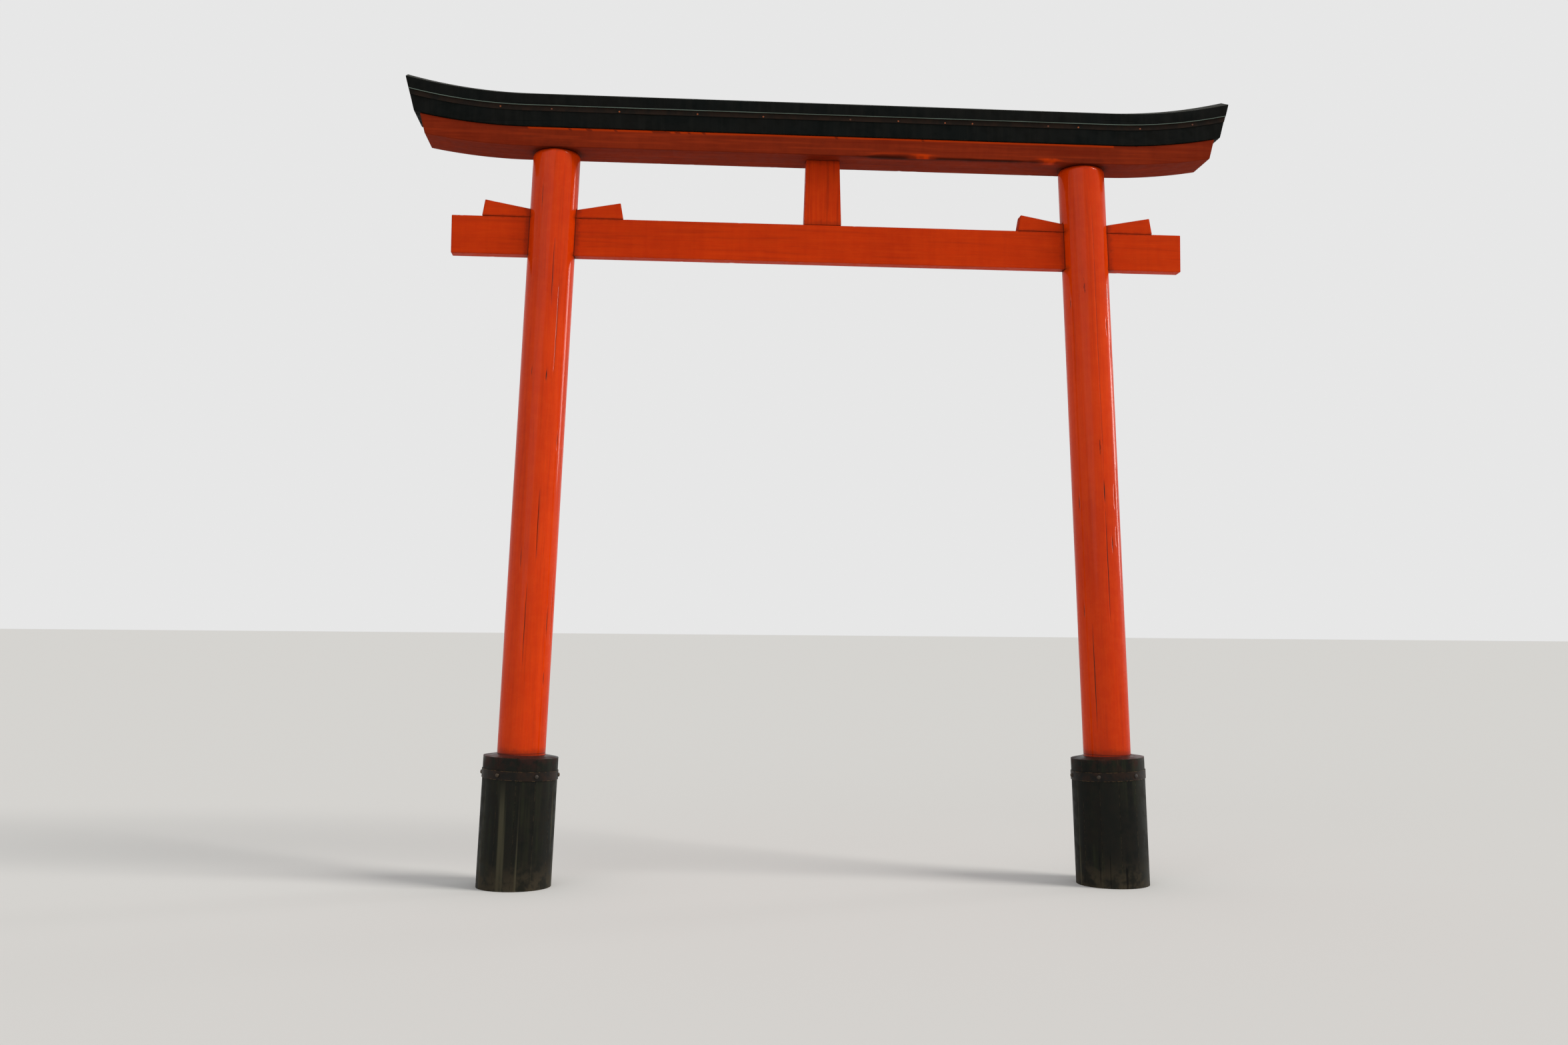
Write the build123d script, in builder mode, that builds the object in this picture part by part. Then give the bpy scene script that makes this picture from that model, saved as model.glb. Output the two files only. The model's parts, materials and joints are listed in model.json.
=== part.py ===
"""A timber torii gate: two leaning posts, a wedged tie beam, a centre strut, two lintels and a cap.

Millimetres, +Z up, +X along the lintels, the passage along Y. The origin is on the ground, midway between
the posts. Timbers are solid. Every seat and every sliding fit has the same small gap.
"""

import os
from math import asin, atan2, cos, degrees, radians, sin, tan

from build123d import *

os.makedirs("parts", exist_ok=True)

# Fits
fit_gap = 0.3

# Posts
post_diameter = 210.0
post_height = 3217.0
post_spacing_foot = 2630.0
post_spacing_head = 2374.0
post_head_round = 24.0
post_tenon_side = 62.0
post_tenon_height = 50.0

# Tie beam, which runs through both posts
beam_height = 170.0
beam_thickness = 62.0
beam_past_post = 330.0
beam_arris = 2.5

# Wedges, driven over the tie beam from both faces of each post
wedge_taper = 10.5
wedge_tip = 18.0
wedge_past_post = 205.0
wedge_end_slant = 10.0
wedge_arris = 2.0

# Centre strut, which sets how far the tie beam lies below the lower lintel
strut_height = 297.0
strut_width_foot = 168.0
strut_width_head = 150.0
strut_tenon_width = 90.0
strut_tenon_thickness = 24.0
strut_tenon_length = 36.0
strut_arris = 2.0

# Lower lintel
lower_lintel_height = 86.0
lower_lintel_depth = 210.0
lower_lintel_overhang = 558.0
lower_lintel_arris = 3.0

# Upper lintel
upper_lintel_height = 90.0
upper_lintel_depth = 222.0
upper_lintel_overhang = 603.0
upper_lintel_arris = 3.0

# Both lintels and the cap are level between the posts and turn up outside them. The overhangs and the
# start of the upturn are measured from a post's axis at its head.
upturn_past_post = 123.0
upturn_radius = 2500.0
lintel_end_slant = 14.0

# Flashing, an angle of sheet metal nailed along each face of the upper lintel
flashing_thickness = 2.0
flashing_leg = 24.0

# Cap, which stands out past the faces of the upper lintel as far as the flashing's lip
cap_past_lintel = 11.0
cap_face_height = 48.0
cap_ridge_rise = 46.0
cap_arris = 2.0

# Sleeves of upright staves round the post feet, each with one hoop
sleeve_height = 566.0
sleeve_wall = 55.0
sleeve_top_fall = 10.0
stave_count = 12
stave_joint = 0.6
hoop_below_top = 65.0
hoop_height = 38.0
hoop_thickness = 3.0

# Sizes that follow from the ones above
post_radius = post_diameter / 2
post_lean = atan2((post_spacing_foot - post_spacing_head) / 2, post_height)
post_half_width = post_radius / cos(post_lean)
beam_top = post_height - strut_height
beam_bottom = beam_top - beam_height
lower_lintel_bottom = post_height + fit_gap
lower_lintel_top = lower_lintel_bottom + lower_lintel_height
upper_lintel_bottom = lower_lintel_top + fit_gap
upper_lintel_top = upper_lintel_bottom + upper_lintel_height
flashing_top = upper_lintel_top + flashing_thickness + fit_gap
flashing_lip = cap_past_lintel - flashing_thickness
cap_bottom = flashing_top + fit_gap
cap_depth = upper_lintel_depth + 2 * cap_past_lintel
upturn_start = post_spacing_head / 2 + upturn_past_post
lower_lintel_reach = post_spacing_head / 2 + lower_lintel_overhang
upper_lintel_reach = post_spacing_head / 2 + upper_lintel_overhang
sleeve_inner_radius = post_radius + fit_gap
sleeve_outer_radius = sleeve_inner_radius + sleeve_wall
sides = ((-1, "left"), (1, "right"))


def post_x(height):
    """Distance of a post's axis from the middle of the gate, at a height above the ground."""
    return post_spacing_foot / 2 - height * tan(post_lean)


def post_plane(side):
    """Plane across a post at the ground, with its normal up the leaning axis."""
    return Plane(
        origin=(side * post_spacing_foot / 2, 0, 0),
        x_dir=(cos(post_lean), 0, side * sin(post_lean)),
        z_dir=(-side * sin(post_lean), 0, cos(post_lean)),
    )


def wedge_top(distance):
    """Height of a wedge's upper face, at a distance from the post's axis."""
    return beam_top + fit_gap + wedge_tip + distance * tan(radians(wedge_taper))


def lintel_run(height):
    """Path of the lintels at a height: level between the posts, with an arc up to each end."""
    radius = upturn_radius - (height - lower_lintel_bottom)
    centre_height = height + radius
    sweep_angle = degrees(asin((upper_lintel_reach + cap_depth - upturn_start) / radius))
    with BuildLine(Plane.XZ) as run:
        CenterArc((-upturn_start, centre_height), radius, -90 - sweep_angle, sweep_angle)
        Line((-upturn_start, height), (upturn_start, height))
        CenterArc((upturn_start, centre_height), radius, -90, sweep_angle)
    return run.wire()


def lintel_section(path, outline):
    """Section of a member at the start of its path, from points given as across and up."""
    with BuildSketch(Plane(origin=path @ 0, x_dir=(0, 1, 0), z_dir=path % 0)) as section:
        with BuildLine():
            Polyline(*outline, close=True)
        make_face()
    return section.sketch


def rectangle(depth, height):
    """Outline of a plain member, as deep and as high as given, standing on its path."""
    return ((-depth / 2, 0), (depth / 2, 0), (depth / 2, height), (-depth / 2, height))


def end_plane(side, reach, height):
    """Plane of a slanted end cut: at its reach at this height, and further out above."""
    slant = radians(lintel_end_slant)
    return Plane(
        origin=(side * reach, 0, height),
        x_dir=(0, 1, 0),
        z_dir=(side * cos(slant), 0, -sin(slant)),
    )


# Posts: round, cut level at the ground and under the lintel, with a tenon up into the lower lintel and a
# slot for the tie beam. The slot's upper faces fall towards the axis, as the wedges do.
for side, name in sides:
    slot_axis = side * post_x(beam_top)
    slot_end = 2 * post_radius
    with BuildPart() as post:
        with BuildSketch(post_plane(side).offset(-post_diameter)):
            Circle(post_radius)
        extrude(amount=post_height + 2 * post_diameter)
        split(bisect_by=Plane.XY, keep=Keep.TOP)
        split(bisect_by=Plane.XY.offset(post_height), keep=Keep.BOTTOM)
        fillet(post.edges().group_by(Axis.Z)[-1], post_head_round)
        with Locations((side * post_x(post_height), 0, post_height)):
            Box(
                post_tenon_side,
                post_tenon_side,
                post_tenon_height,
                align=(Align.CENTER, Align.CENTER, Align.MIN),
            )
        with BuildSketch(Plane.XZ):
            with BuildLine():
                Polyline(
                    (slot_axis - slot_end, beam_bottom - fit_gap),
                    (slot_axis + slot_end, beam_bottom - fit_gap),
                    (slot_axis + slot_end, wedge_top(slot_end) + fit_gap),
                    (slot_axis, wedge_top(0) + fit_gap),
                    (slot_axis - slot_end, wedge_top(slot_end) + fit_gap),
                    close=True,
                )
            make_face()
        extrude(amount=beam_thickness / 2 + fit_gap, both=True, mode=Mode.SUBTRACT)
    post.part.label = f"{name}_post"
    export_step(post.part, f"parts/{name}_post.step")

# Tie beam, with a mortise for the strut's lower tenon.
beam_half_length = post_x(beam_bottom) + post_half_width + beam_past_post
with BuildPart() as tie_beam:
    with Locations((0, 0, beam_bottom)):
        Box(
            2 * beam_half_length,
            beam_thickness,
            beam_height,
            align=(Align.CENTER, Align.CENTER, Align.MIN),
        )
    chamfer(tie_beam.edges(), beam_arris)
    with Locations((0, 0, beam_top)):
        Box(
            strut_tenon_width + 2 * fit_gap,
            strut_tenon_thickness + 2 * fit_gap,
            strut_tenon_length,
            align=(Align.CENTER, Align.CENTER, Align.MAX),
            mode=Mode.SUBTRACT,
        )
tie_beam.part.label = "tie_beam"
export_step(tie_beam.part, "parts/tie_beam.step")

# Wedges: one from inside and one from outside on each post, thick end out, meeting near the post's axis.
for side, name in sides:
    for out, face in ((-side, "inner"), (side, "outer")):
        axis_x = side * post_x(beam_top)
        foot_end = post_half_width + wedge_past_post
        head_end = foot_end - (wedge_top(foot_end) - beam_top) * tan(radians(wedge_end_slant))
        with BuildPart() as wedge:
            with BuildSketch(Plane.XZ):
                with BuildLine():
                    Polyline(
                        (axis_x + out * fit_gap, beam_top + fit_gap),
                        (axis_x + out * foot_end, beam_top + fit_gap),
                        (axis_x + out * head_end, wedge_top(head_end)),
                        (axis_x + out * fit_gap, wedge_top(fit_gap)),
                        close=True,
                    )
                make_face()
            extrude(amount=beam_thickness / 2, both=True)
            chamfer(wedge.edges(), wedge_arris)
        wedge.part.label = f"{name}_{face}_wedge"
        export_step(wedge.part, f"parts/{name}_{face}_wedge.step")

# Centre strut: wider at its foot, flush with the tie beam, with a tenon at each end.
strut_bottom = beam_top + fit_gap
with BuildPart() as centre_strut:
    with BuildSketch(Plane.XZ):
        with BuildLine():
            Polyline(
                (-strut_width_foot / 2, strut_bottom),
                (strut_width_foot / 2, strut_bottom),
                (strut_width_head / 2, post_height),
                (-strut_width_head / 2, post_height),
                close=True,
            )
        make_face()
    extrude(amount=beam_thickness / 2, both=True)
    chamfer(centre_strut.edges(), strut_arris)
    with Locations((0, 0, strut_bottom - strut_tenon_length + 2 * fit_gap)):
        Box(
            strut_tenon_width,
            strut_tenon_thickness,
            post_height - strut_bottom + 2 * (strut_tenon_length - 2 * fit_gap),
            align=(Align.CENTER, Align.CENTER, Align.MIN),
        )
centre_strut.part.label = "centre_strut"
export_step(centre_strut.part, "parts/centre_strut.step")

# Lower lintel: lies on the posts and the strut, and takes their tenons in its underside.
lower_run = lintel_run(lower_lintel_bottom)
with BuildPart() as lower_lintel:
    sweep(
        sections=lintel_section(lower_run, rectangle(lower_lintel_depth, lower_lintel_height)),
        path=lower_run,
    )
    for side, _ in sides:
        split(bisect_by=end_plane(side, lower_lintel_reach, lower_lintel_bottom), keep=Keep.BOTTOM)
    chamfer(lower_lintel.edges(), lower_lintel_arris)
    with Locations(*[(side * post_x(post_height), 0, lower_lintel_bottom) for side, _ in sides]):
        Box(
            post_tenon_side + 2 * fit_gap,
            post_tenon_side + 2 * fit_gap,
            post_tenon_height,
            align=(Align.CENTER, Align.CENTER, Align.MIN),
            mode=Mode.SUBTRACT,
        )
    with Locations((0, 0, lower_lintel_bottom)):
        Box(
            strut_tenon_width + 2 * fit_gap,
            strut_tenon_thickness + 2 * fit_gap,
            strut_tenon_length,
            align=(Align.CENTER, Align.CENTER, Align.MIN),
            mode=Mode.SUBTRACT,
        )
lower_lintel.part.label = "lower_lintel"
export_step(lower_lintel.part, "parts/lower_lintel.step")

# Upper lintel: deeper than the lower one, so that it stands proud on both faces.
upper_run = lintel_run(upper_lintel_bottom)
with BuildPart() as upper_lintel:
    sweep(
        sections=lintel_section(upper_run, rectangle(upper_lintel_depth, upper_lintel_height)),
        path=upper_run,
    )
    for side, _ in sides:
        split(bisect_by=end_plane(side, upper_lintel_reach, upper_lintel_bottom), keep=Keep.BOTTOM)
    chamfer(upper_lintel.edges(), upper_lintel_arris)
upper_lintel.part.label = "upper_lintel"
export_step(upper_lintel.part, "parts/upper_lintel.step")

# Flashing: a sheet metal angle on each face, its lip out under the cap as a drip edge.
flashing_run = lintel_run(flashing_top)
for out, name in ((-1, "front"), (1, "back")):
    inner = out * (upper_lintel_depth / 2 + fit_gap)
    outer = inner + out * flashing_thickness
    lip_end = outer + out * flashing_lip
    with BuildPart() as flashing:
        sweep(
            sections=lintel_section(
                flashing_run,
                (
                    (inner, -flashing_leg),
                    (outer, -flashing_leg),
                    (outer, -flashing_thickness),
                    (lip_end, -flashing_thickness),
                    (lip_end, 0),
                    (inner - out * flashing_leg, 0),
                    (inner - out * flashing_leg, -flashing_thickness),
                    (inner, -flashing_thickness),
                ),
            ),
            path=flashing_run,
        )
        for side, _ in sides:
            split(bisect_by=end_plane(side, upper_lintel_reach, upper_lintel_bottom), keep=Keep.BOTTOM)
    flashing.part.label = f"{name}_flashing"
    export_step(flashing.part, f"parts/{name}_flashing.step")

# Cap: five-sided, with upright faces and two slopes up to a ridge.
cap_run = lintel_run(cap_bottom)
with BuildPart() as cap:
    sweep(
        sections=lintel_section(
            cap_run,
            (
                (-cap_depth / 2, 0),
                (cap_depth / 2, 0),
                (cap_depth / 2, cap_face_height),
                (0, cap_face_height + cap_ridge_rise),
                (-cap_depth / 2, cap_face_height),
            ),
        ),
        path=cap_run,
    )
    for side, _ in sides:
        split(bisect_by=end_plane(side, upper_lintel_reach, upper_lintel_bottom), keep=Keep.BOTTOM)
    chamfer(cap.edges(), cap_arris)
cap.part.label = "cap"
export_step(cap.part, "parts/cap.step")

# Sleeves: staves that stand round each post from the ground up, their tops falling outwards, and a flat
# hoop drawn round them.
stave_angle = 360 / stave_count
joint_angle = degrees(stave_joint / sleeve_outer_radius)
hoop_top = sleeve_height - hoop_below_top
hoop_inner_radius = sleeve_outer_radius + fit_gap
for side, name in sides:
    foot_plane = post_plane(side)
    foot_axis = Axis(foot_plane.origin, foot_plane.z_dir)
    for number in range(stave_count):
        turn = radians(number * stave_angle)
        outward = foot_plane.x_dir * cos(turn) + foot_plane.y_dir * sin(turn)
        with BuildPart() as stave:
            with BuildSketch(Plane(foot_plane.origin, outward, outward.cross(foot_plane.z_dir))):
                with BuildLine():
                    Polyline(
                        (sleeve_inner_radius, -sleeve_outer_radius),
                        (sleeve_outer_radius, -sleeve_outer_radius),
                        (sleeve_outer_radius, sleeve_height - sleeve_top_fall),
                        (sleeve_inner_radius, sleeve_height),
                        close=True,
                    )
                make_face()
            revolve(axis=foot_axis, revolution_arc=stave_angle - joint_angle)
            split(bisect_by=Plane.XY, keep=Keep.TOP)
        stave.part.label = f"{name}_stave_{number + 1:02d}"
        export_step(stave.part, f"parts/{name}_stave_{number + 1:02d}.step")
    with BuildPart() as hoop:
        with BuildSketch(foot_plane.offset(hoop_top - hoop_height)):
            Circle(hoop_inner_radius + hoop_thickness)
            Circle(hoop_inner_radius, mode=Mode.SUBTRACT)
        extrude(amount=hoop_height)
    hoop.part.label = f"{name}_hoop"
    export_step(hoop.part, f"parts/{name}_hoop.step")
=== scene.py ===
# %% [markdown]
# # A vermilion torii gate, dressed for the camera
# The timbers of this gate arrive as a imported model, in metres, with +Z up and the way through along Y.
# This notebook gives each its finish and adds what is too small to be construction: nails, bolts, cracks
# and dirt. Nothing here moves or resizes a timber, so the first step is only to load them.

# %% Load the gate
import json
import random
from math import atan2, copysign, cos, degrees, exp, hypot, pi, radians, remainder, sin, tan, tau
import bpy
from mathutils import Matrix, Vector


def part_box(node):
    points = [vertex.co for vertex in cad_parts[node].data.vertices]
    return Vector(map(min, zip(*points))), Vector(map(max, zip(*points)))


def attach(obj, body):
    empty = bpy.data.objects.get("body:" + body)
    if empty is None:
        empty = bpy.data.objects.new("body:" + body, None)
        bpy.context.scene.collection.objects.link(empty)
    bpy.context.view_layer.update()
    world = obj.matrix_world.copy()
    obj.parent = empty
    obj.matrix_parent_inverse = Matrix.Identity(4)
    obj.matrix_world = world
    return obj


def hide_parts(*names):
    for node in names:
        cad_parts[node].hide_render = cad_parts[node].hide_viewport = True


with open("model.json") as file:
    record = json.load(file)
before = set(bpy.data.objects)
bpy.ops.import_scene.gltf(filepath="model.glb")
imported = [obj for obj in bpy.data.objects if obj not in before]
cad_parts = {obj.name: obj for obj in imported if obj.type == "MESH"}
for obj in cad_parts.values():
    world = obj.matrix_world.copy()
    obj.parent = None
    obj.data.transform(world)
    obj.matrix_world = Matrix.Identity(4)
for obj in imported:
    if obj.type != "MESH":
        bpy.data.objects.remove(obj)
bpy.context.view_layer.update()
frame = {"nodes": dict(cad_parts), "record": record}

from types import SimpleNamespace

import bmesh
import bpy
from mathutils import Matrix, Vector, noise

nodes = frame["nodes"]
print("timbers and fittings:", len(nodes))

# %% [markdown]
# ## Where things are
# Every later step asks the timbers themselves where they are, so that a nail sits on its sheet even if the
# gate's sizes change. A post is a leaning cylinder: its foot is one of the record's mounts, and its head is
# where its tenon stands, above the underside of the lower lintel.

# %% Measure the posts
SIDES = {"left": -1, "right": 1}
FIT_GAP = 0.0003
NEARLY = 0.001
lintel_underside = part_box("lower_lintel")[0].z
post_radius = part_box("right_post")[1].y
tenon = [v.co.x for v in nodes["right_post"].data.vertices if v.co.z > lintel_underside + NEARLY]
head_x = (min(tenon) + max(tenon)) / 2
foot_x = max(m["pos_m"][0] for m in frame["record"]["mounts"])
lean = atan2(foot_x - head_x, lintel_underside)
print(f"post radius {post_radius:.3f} m, foot at {foot_x:.3f}, lean {degrees(lean):.2f} degrees")


def axis_x(height):
    """How far out a post's axis is at a height."""
    return foot_x - height * tan(lean)


# %% [markdown]
# ## The camera
# The picture was taken from in front, a little left of the middle and low, looking slightly up. Place,
# direction and lens were solved from the straight edges of the beams and posts. The direction is given as
# yaw, pitch and roll, because those are easy to picture and to correct.

# %% Place the camera
EYE = Vector((-0.6775, -6.7193, 1.1039))
YAW = radians(4.400)
PITCH = radians(4.070)
ROLL = radians(0.475)
LENS_MM = 35.0
SENSOR_MM = 36.0


def new_object(name, data):
    """An object with this data, in the scene."""
    thing = bpy.data.objects.new(name, data)
    bpy.context.scene.collection.objects.link(thing)
    return thing


forward = Vector((sin(YAW) * cos(PITCH), cos(YAW) * cos(PITCH), sin(PITCH)))
level = Vector((cos(YAW), -sin(YAW), 0))
right = level * cos(ROLL) + level.cross(forward) * sin(ROLL)
turn = Matrix((right, right.cross(forward), -forward)).transposed().to_4x4()

camera = new_object("front_camera", bpy.data.cameras.new("front_camera"))
camera.data.sensor_fit = "HORIZONTAL"
camera.data.sensor_width = SENSOR_MM
camera.data.lens = LENS_MM
camera.matrix_world = Matrix.Translation(EYE) @ turn
bpy.context.scene.camera = camera
print("camera at", tuple(round(v, 3) for v in EYE))

# %% [markdown]
# ## Reckoning with nodes
# A material here is built in code, node by node, and most of its nodes only add or multiply. So that this
# reads like plain arithmetic, what a node puts out is wrapped as a Value: each sign between values then
# places one Math node and gives its result.

# %% Values that place Math nodes
class Value:
    """An output of a node, to be reckoned with like a number."""

    def __init__(self, tree, socket):
        self.tree = tree
        self.socket = socket

    def __add__(self, other):
        return calc("ADD", self, other)

    def __sub__(self, other):
        return calc("SUBTRACT", self, other)

    def __rsub__(self, other):
        return calc("SUBTRACT", other, self)

    def __mul__(self, other):
        return calc("MULTIPLY", self, other)

    def __truediv__(self, other):
        return calc("DIVIDE", self, other)

    def __rtruediv__(self, other):
        return calc("DIVIDE", other, self)

    def __abs__(self):
        return calc("ABSOLUTE", self)


def connect(tree, socket, value):
    """Links a value to a socket, or sets the socket to a plain number or colour."""
    if isinstance(value, Value):
        tree.links.new(value.socket, socket)
    elif value is not None:
        socket.default_value = value


def put(tree, kind, *values, take=0, **settings):
    """Adds a node, fills its first sockets with these values, and gives the output called for."""
    node = tree.nodes.new("ShaderNode" + kind)
    for name, value in settings.items():
        setattr(node, name, value)
    for socket, value in zip(node.inputs, values):
        connect(tree, socket, value)
    return Value(tree, node.outputs[take])


def tree_of(values):
    """The node tree that holds some values."""
    return next(value.tree for value in values if isinstance(value, Value))


def calc(operation, *values):
    """A Math node's result."""
    return put(tree_of(values), "Math", *values, operation=operation)


def calc_vector(operation, *values, take=0):
    """A Vector Math node's result."""
    return put(tree_of(values), "VectorMath", *values, take=take, operation=operation)


# %% Helpers: parts, ramps, noise and coats of colour
def beside(value, take):
    """Another output of the node that a value comes from."""
    return Value(value.tree, value.socket.node.outputs[take])


def split(vector):
    """The three parts of a vector."""
    x = put(vector.tree, "SeparateXYZ", vector)
    return x, beside(x, 1), beside(x, 2)


def ramp(value, low, high, to_low=0.0, to_high=1.0):
    """Goes smoothly from to_low to to_high as a value goes from low to high."""
    return put(value.tree, "MapRange", value, low, high, to_low, to_high, interpolation_type="SMOOTHSTEP")


def cloud(point, scale, detail, roughness, take=0):
    """Noise read at a point."""
    return put(point.tree, "TexNoise", point, None, scale, detail, roughness, take=take)


def mix(amount, a, b, mode="MIX"):
    """A mix of two colours, which are the Mix node's sockets 6 and 7."""
    skipped = [None] * 5
    return put(tree_of((amount, a, b)), "Mix", amount, *skipped, a, b, take=2, data_type="RGBA",
               blend_type=mode)


def coats(colour, *others):
    """A colour with others laid over it, each given as where it lies and what colour it is."""
    for where, other in others:
        colour = mix(where, colour, other)
    return colour


def rgb(red, green, blue):
    """The linear colour that a shader takes, from a screen's 0 to 255 steps."""
    def linear(step):
        share = step / 255
        return share / 12.92 if share <= 0.04045 else ((share + 0.055) / 1.055) ** 2.4
    return linear(red), linear(green), linear(blue), 1.0


# %% [markdown]
# ## Node groups
# What several materials share, such as grain, is a node group, so that it is built once. `new_group` makes
# one with its inputs, `give` ends it with its outputs, and `use` places it in a material with that
# material's own values. A socket called Crack Share is written crack_share.

# %% Helpers: make, end and use a group
def label(name):
    """The name of a socket, from its name in the code."""
    return name.replace("_", " ").title()


def by_name(tree, node):
    """A node's outputs, each under its name in the code."""
    return SimpleNamespace(**{s.name.lower().replace(" ", "_"): Value(tree, s) for s in node.outputs})


def new_group(name, **takes):
    """A node group's tree and its inputs: numbers where a number is given, and vectors otherwise."""
    tree = bpy.data.node_groups.new(name, "ShaderNodeTree")
    for key, value in takes.items():
        kind = "NodeSocketFloat" if isinstance(value, float) else "NodeSocketVector"
        socket = tree.interface.new_socket(label(key), in_out="INPUT", socket_type=kind)
        if value is not None:
            socket.default_value = value
    return tree, by_name(tree, tree.nodes.new("NodeGroupInput"))


def give(tree, **values):
    """Ends a group with its outputs: numbers, apart from one called vector."""
    for key in values:
        kind = "NodeSocketVector" if key == "vector" else "NodeSocketFloat"
        tree.interface.new_socket(label(key), in_out="OUTPUT", socket_type=kind)
    end = tree.nodes.new("NodeGroupOutput")
    for key, value in values.items():
        connect(tree, end.inputs[label(key)], value)
    print("group:", tree.name, "gives", list(values))
    return tree


def use(tree, group, **values):
    """Places a group in a tree, and gives its outputs by name."""
    node = tree.nodes.new("ShaderNodeGroup")
    node.node_tree = group
    for key, value in values.items():
        connect(tree, node.inputs[label(key)], value)
    return by_name(tree, node)


# %% [markdown]
# ## Which way the grain runs
# Grain is long along the timber and fine across it. Noise shows that if the point that it is read at is
# squeezed along the timber. The posts lean on both sides, so a group slides each point sideways with its
# height, as if they stood upright, and reads each post elsewhere in the noise, so that they aren't twins.

# %% Group: a post's own coordinates
TWIN_SHIFT = 7.3

tree, given = new_group("upright post", foot=foot_x, slope=tan(lean))
x, y, z = split(put(tree, "TexCoord", take="Object"))
side = calc("SIGN", x)
across = x - side * (given.foot - z * given.slope)
vector = put(tree, "CombineXYZ", across + side * TWIN_SHIFT, y, z)
upright_group = give(tree, vector=vector, around=calc("ARCTAN2", y, across * side), height=z, side=side)

# %% [markdown]
# ## Grain, cracks, nicks and knots
# One group makes what wood shows through paint. Fine noise squeezed along the grain gives ridges, and
# broader noise the bands that early and late wood leave under thin paint. A drying crack is where a slower
# noise crosses its middle value: that gives long thin lines with tapered ends, and a third noise keeps only
# some. Nicks are lens-shaped dents, a finger long, and knots are round: both are the centres of a few
# Voronoi cells, squeezed more or less.

# %% Group: wood under paint
def cell_marks(point, scale, share, radius):
    """Marks at the centres of a few cells: a value from 0 to 1."""
    distance = put(point.tree, "TexVoronoi", point, None, scale)
    chance = put(point.tree, "SeparateColor", beside(distance, "Color"))
    return calc("LESS_THAN", chance, share) * ramp(distance, radius, radius * 0.5)


tree, given = new_group("wood under paint", vector=None, stretch=(1, 1, 0.05), crack_share=0.3,
                        nick_share=0.2, knot_share=0.1)
point = given.vector
squeezed = calc_vector("MULTIPLY", point, given.stretch)
grain = cloud(squeezed, 260.0, 3.0, 0.6) * 0.6 + cloud(squeezed, 28.0, 2.0, 0.5) * 0.4

line = 1.0 - ramp(abs(cloud(squeezed, 16.0, 0.4, 0.5) - 0.5), 0.0, 0.01)
limit = 0.8 - given.crack_share * 0.6
crack = line * ramp(cloud(point, 3.1, 1.0, 0.5), limit, limit + 0.05)

shorter = calc_vector("ADD", given.stretch, (0.09, 0.09, 0.09))
bend = calc_vector("MULTIPLY", cloud(point, 45.0, 2.0, 0.5, "Color"), (0.008, 0.008, 0.008))
dented = calc_vector("ADD", calc_vector("MULTIPLY", point, shorter), bend)
nick = cell_marks(dented, 24.0, given.nick_share, 0.11)
knot = cell_marks(point, 5.0, given.knot_share, 0.06)
wood_group = give(tree, grain=grain, band=cloud(squeezed, 70.0, 2.0, 0.5), crack=crack, nick=nick,
                  knot=knot, height=grain * 0.22 + knot * 0.3 - (crack + nick * 0.7))

# %% [markdown]
# ## Weather
# Outdoor paint fades in broad patches, runs in streaks down a face, gathers dust where a face looks up
# and wears off along its arrises. The group gives one mask for each, and a material decides what they do.

# %% Group: weather
tree, given = new_group("weather", vector=None, patch_size=0.5, arris=0.004)
point = given.vector
patch = cloud(point, 1.0 / given.patch_size, 4.0, 0.55)
mottle = cloud(point, 22.0, 5.0, 0.6)
streak = cloud(calc_vector("MULTIPLY", point, (1, 1, 0.045)), 38.0, 3.0, 0.6)

normal = put(tree, "NewGeometry", take="Normal")
dust = ramp(split(normal)[2], 0.25, 0.95) * ramp(mottle, 0.3, 0.62)
turned = calc_vector("DOT_PRODUCT", put(tree, "Bevel", given.arris, samples=4), normal, take="Value")
worn = ramp(turned, 0.995, 0.86) * ramp(cloud(point, 60.0, 4.0, 0.65), 0.45, 0.62)
weather_group = give(tree, patch=ramp(patch, 0.36, 0.66), mottle=ramp(mottle, 0.38, 0.64),
                     streak=ramp(streak, 0.42, 0.68), dust=dust, worn=worn)

# %% [markdown]
# ## Soil at the joints
# Where one timber meets another, rain stands and dirt stays: a dark, ragged line on both. Each material
# works out the distance to its own joints, and the group turns that into a mask with a torn edge.

# %% Group: soil at a joint
tree, given = new_group("soil at a joint", vector=None, distance=1.0, reach=0.02)
torn = cloud(given.vector, 34.0, 5.0, 0.65)
ragged = given.distance / given.reach + (torn - 0.5) * 1.6
joint_group = give(tree, soil=ramp(ragged, 1.0, 0.1), line=ramp(given.distance, 0.0035, 0.001))

# %% [markdown]
# ## A place to finish a material
# Each material starts from its coordinates and its weather, and ends in one Principled shader. What is the
# same all over it, such as the specular level, is set on the shader's own sockets, and only what changes
# over the surface is linked.

# %% Start and end of a material
def new_material(name):
    """An empty material that ends in one shader."""
    material = bpy.data.materials.new(name)
    material.use_nodes = True
    tree = material.node_tree
    tree.nodes.clear()
    shader = put(tree, "BsdfPrincipled")
    connect(tree, tree.nodes.new("ShaderNodeOutputMaterial").inputs[0], shader)
    return material


def weathered(name, patch_size, arris=0.004, upright=False):
    """A new material, its coordinates and its weather."""
    material = new_material(name)
    tree = material.node_tree
    if upright:
        place = use(tree, upright_group)
    else:
        place = SimpleNamespace(vector=put(tree, "TexCoord", take="Object"))
    weather = use(tree, weather_group, vector=place.vector, patch_size=patch_size, arris=arris)
    return material, place, weather


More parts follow.
